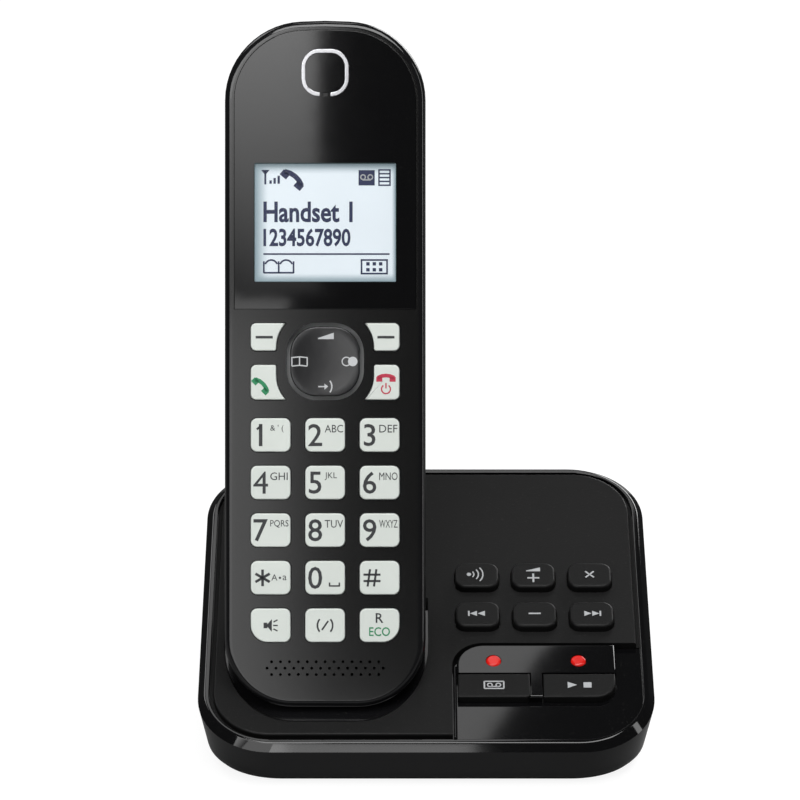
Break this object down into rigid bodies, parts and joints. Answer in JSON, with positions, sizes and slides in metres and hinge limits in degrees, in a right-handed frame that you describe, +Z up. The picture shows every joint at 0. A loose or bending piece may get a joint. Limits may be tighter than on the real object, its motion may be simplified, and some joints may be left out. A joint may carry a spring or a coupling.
{
  "type": "cordless phone with base",
  "caption": "Candy-bar cordless handset with keypad and display, standing in a sloping charging base with answering machine keys.",
  "frame": {"origin": "on the table, under the middle of the whole object's bounding box", "axes": "+Z up, the keypad side faces -Y, +X to the right of a person looking at the keypad"},
  "size_m": [0.108, 0.0978, 0.1633],
  "materials": {
    "gloss_black": "high gloss",
    "gloss_case": "polished",
    "satin_black": "satin",
    "matte_black": "fine matte texture",
    "gloss_key": "satin gloss",
    "key_white": "satin",
    "clear_window": "polished",
    "display_glass": "smooth",
    "silver": "bright",
    "contact_steel": "bright",
    "contact_brass": "bright",
    "speaker_metal": "satin",
    "circuit_board": "solder mask",
    "rubber_grey": "matte",
    "rubber_black": "matte",
    "indicator_red": "translucent",
    "battery_sleeve": "gloss",
    "jack_black": "smooth"
  },
  "bodies": {
    "base": {"base_upper_case": "matte_black", "base_trim": "gloss_black", "base_lower_case": "gloss_case", "cradle_insert": "matte_black", "control_panel": "gloss_black", "indicator_lights": "indicator_red", "base_keypad_mat": "rubber_grey", "base_circuit_board": "circuit_board", "base_speaker": "speaker_metal", "line_jack": "jack_black", "power_jack": "jack_black", "rubber_feet": "rubber_black", "base_screws": "contact_steel"},
    "handset": {"handset_front_case": "satin_black", "handset_rear_case": "matte_black", "display_panel": "gloss_black", "display_lens": "clear_window", "earpiece_ring": "silver", "lcd_module": "display_glass", "handset_circuit_board": "circuit_board", "keypad_mat": "rubber_grey", "earpiece_speaker": "speaker_metal", "ringer_speaker": "speaker_metal", "microphone": "speaker_metal", "batteries": "battery_sleeve", "battery_springs": "contact_steel", "handset_charge_plates": "contact_steel", "handset_screws": "contact_steel"},
    "battery_door": {"battery_door": "matte_black"},
    "navigator_pivot": {"navigator_pivot": "rubber_black"},
    "navigator_key": {"navigator_key": "gloss_key"},
    "key_speaker": {"key_speaker": "key_white"},
    "key_intercom": {"key_intercom": "key_white"},
    "key_flash": {"key_flash": "key_white"},
    "key_star": {"key_star": "key_white"},
    "key_0": {"key_0": "key_white"},
    "key_hash": {"key_hash": "key_white"},
    "key_7": {"key_7": "key_white"},
    "key_8": {"key_8": "key_white"},
    "key_9": {"key_9": "key_white"},
    "key_4": {"key_4": "key_white"},
    "key_5": {"key_5": "key_white"},
    "key_6": {"key_6": "key_white"},
    "key_1": {"key_1": "key_white"},
    "key_2": {"key_2": "key_white"},
    "key_3": {"key_3": "key_white"},
    "soft_key_left": {"soft_key_left": "key_white"},
    "soft_key_right": {"soft_key_right": "key_white"},
    "talk_key": {"talk_key": "key_white"},
    "off_key": {"off_key": "key_white"},
    "page_key": {"page_key": "matte_black"},
    "volume_up_key": {"volume_up_key": "matte_black"},
    "erase_key": {"erase_key": "matte_black"},
    "rewind_key": {"rewind_key": "matte_black"},
    "volume_down_key": {"volume_down_key": "matte_black"},
    "forward_key": {"forward_key": "matte_black"},
    "answer_key": {"answer_key": "matte_black"},
    "play_key": {"play_key": "matte_black"},
    "charge_pin_left": {"charge_pin_left": "contact_brass"},
    "charge_pin_right": {"charge_pin_right": "contact_brass"}
  },
  "joints": [
    {"name": "handset_lift", "type": "slide", "parent": "base", "child": "handset", "axis": [0, 0.4067, 0.9135], "range_m": [0, 0.08]},
    {"name": "battery_door_slide", "type": "slide", "parent": "handset", "child": "battery_door", "axis": [0, -0.4067, -0.9135], "range_m": [0, 0.005]},
    {"name": "navigator_up_down", "type": "hinge", "parent": "handset", "child": "navigator_pivot", "pos_m": [-0.0238, -0.00297, 0.08961], "axis": [1, 0, 0], "range_deg": [-3, 3], "stiffness_Nm_per_rad": 0.05},
    {"name": "navigator_left_right", "type": "hinge", "parent": "navigator_pivot", "child": "navigator_key", "pos_m": [-0.0238, -0.00297, 0.08961], "axis": [0, 0.4067, 0.9135], "range_deg": [-3, 3], "stiffness_Nm_per_rad": 0.05},
    {"name": "key_speaker_press", "type": "slide", "parent": "handset", "child": "key_speaker", "axis": [0, 0.9135, -0.4067], "range_m": [0, 0.0006], "stiffness_N_per_m": 1500},
    {"name": "key_intercom_press", "type": "slide", "parent": "handset", "child": "key_intercom", "axis": [0, 0.9135, -0.4067], "range_m": [0, 0.0006], "stiffness_N_per_m": 1500},
    {"name": "key_flash_press", "type": "slide", "parent": "handset", "child": "key_flash", "axis": [0, 0.9135, -0.4067], "range_m": [0, 0.0006], "stiffness_N_per_m": 1500},
    {"name": "key_star_press", "type": "slide", "parent": "handset", "child": "key_star", "axis": [0, 0.9135, -0.4067], "range_m": [0, 0.0006], "stiffness_N_per_m": 1500},
    {"name": "key_0_press", "type": "slide", "parent": "handset", "child": "key_0", "axis": [0, 0.9135, -0.4067], "range_m": [0, 0.0006], "stiffness_N_per_m": 1500},
    {"name": "key_hash_press", "type": "slide", "parent": "handset", "child": "key_hash", "axis": [0, 0.9135, -0.4067], "range_m": [0, 0.0006], "stiffness_N_per_m": 1500},
    {"name": "key_7_press", "type": "slide", "parent": "handset", "child": "key_7", "axis": [0, 0.9135, -0.4067], "range_m": [0, 0.0006], "stiffness_N_per_m": 1500},
    {"name": "key_8_press", "type": "slide", "parent": "handset", "child": "key_8", "axis": [0, 0.9135, -0.4067], "range_m": [0, 0.0006], "stiffness_N_per_m": 1500},
    {"name": "key_9_press", "type": "slide", "parent": "handset", "child": "key_9", "axis": [0, 0.9135, -0.4067], "range_m": [0, 0.0006], "stiffness_N_per_m": 1500},
    {"name": "key_4_press", "type": "slide", "parent": "handset", "child": "key_4", "axis": [0, 0.9135, -0.4067], "range_m": [0, 0.0006], "stiffness_N_per_m": 1500},
    {"name": "key_5_press", "type": "slide", "parent": "handset", "child": "key_5", "axis": [0, 0.9135, -0.4067], "range_m": [0, 0.0006], "stiffness_N_per_m": 1500},
    {"name": "key_6_press", "type": "slide", "parent": "handset", "child": "key_6", "axis": [0, 0.9135, -0.4067], "range_m": [0, 0.0006], "stiffness_N_per_m": 1500},
    {"name": "key_1_press", "type": "slide", "parent": "handset", "child": "key_1", "axis": [0, 0.9135, -0.4067], "range_m": [0, 0.0006], "stiffness_N_per_m": 1500},
    {"name": "key_2_press", "type": "slide", "parent": "handset", "child": "key_2", "axis": [0, 0.9135, -0.4067], "range_m": [0, 0.0006], "stiffness_N_per_m": 1500},
    {"name": "key_3_press", "type": "slide", "parent": "handset", "child": "key_3", "axis": [0, 0.9135, -0.4067], "range_m": [0, 0.0006], "stiffness_N_per_m": 1500},
    {"name": "soft_key_left_press", "type": "slide", "parent": "handset", "child": "soft_key_left", "axis": [0, 0.9135, -0.4067], "range_m": [0, 0.0006], "stiffness_N_per_m": 1500},
    {"name": "soft_key_right_press", "type": "slide", "parent": "handset", "child": "soft_key_right", "axis": [0, 0.9135, -0.4067], "range_m": [0, 0.0006], "stiffness_N_per_m": 1500},
    {"name": "talk_key_press", "type": "slide", "parent": "handset", "child": "talk_key", "axis": [0, 0.9135, -0.4067], "range_m": [0, 0.0006], "stiffness_N_per_m": 1500},
    {"name": "off_key_press", "type": "slide", "parent": "handset", "child": "off_key", "axis": [0, 0.9135, -0.4067], "range_m": [0, 0.0006], "stiffness_N_per_m": 1500},
    {"name": "page_key_press", "type": "slide", "parent": "base", "child": "page_key", "axis": [0, 0.3173, -0.9483], "range_m": [0, 0.0007], "stiffness_N_per_m": 1500},
    {"name": "volume_up_key_press", "type": "slide", "parent": "base", "child": "volume_up_key", "axis": [0, 0.3173, -0.9483], "range_m": [0, 0.0007], "stiffness_N_per_m": 1500},
    {"name": "erase_key_press", "type": "slide", "parent": "base", "child": "erase_key", "axis": [0, 0.3173, -0.9483], "range_m": [0, 0.0007], "stiffness_N_per_m": 1500},
    {"name": "rewind_key_press", "type": "slide", "parent": "base", "child": "rewind_key", "axis": [0, 0.3173, -0.9483], "range_m": [0, 0.0007], "stiffness_N_per_m": 1500},
    {"name": "volume_down_key_press", "type": "slide", "parent": "base", "child": "volume_down_key", "axis": [0, 0.3173, -0.9483], "range_m": [0, 0.0007], "stiffness_N_per_m": 1500},
    {"name": "forward_key_press", "type": "slide", "parent": "base", "child": "forward_key", "axis": [0, 0.3173, -0.9483], "range_m": [0, 0.0007], "stiffness_N_per_m": 1500},
    {"name": "answer_key_press", "type": "slide", "parent": "base", "child": "answer_key", "axis": [0, 0.3173, -0.9483], "range_m": [0, 0.0007], "stiffness_N_per_m": 1500},
    {"name": "play_key_press", "type": "slide", "parent": "base", "child": "play_key", "axis": [0, 0.3173, -0.9483], "range_m": [0, 0.0007], "stiffness_N_per_m": 1500},
    {"name": "charge_pin_left_press", "type": "slide", "parent": "base", "child": "charge_pin_left", "axis": [0, -0.4067, -0.9135], "range_m": [0, 0.0008], "stiffness_N_per_m": 500},
    {"name": "charge_pin_right_press", "type": "slide", "parent": "base", "child": "charge_pin_right", "axis": [0, -0.4067, -0.9135], "range_m": [0, 0.0008], "stiffness_N_per_m": 500}
  ]
}
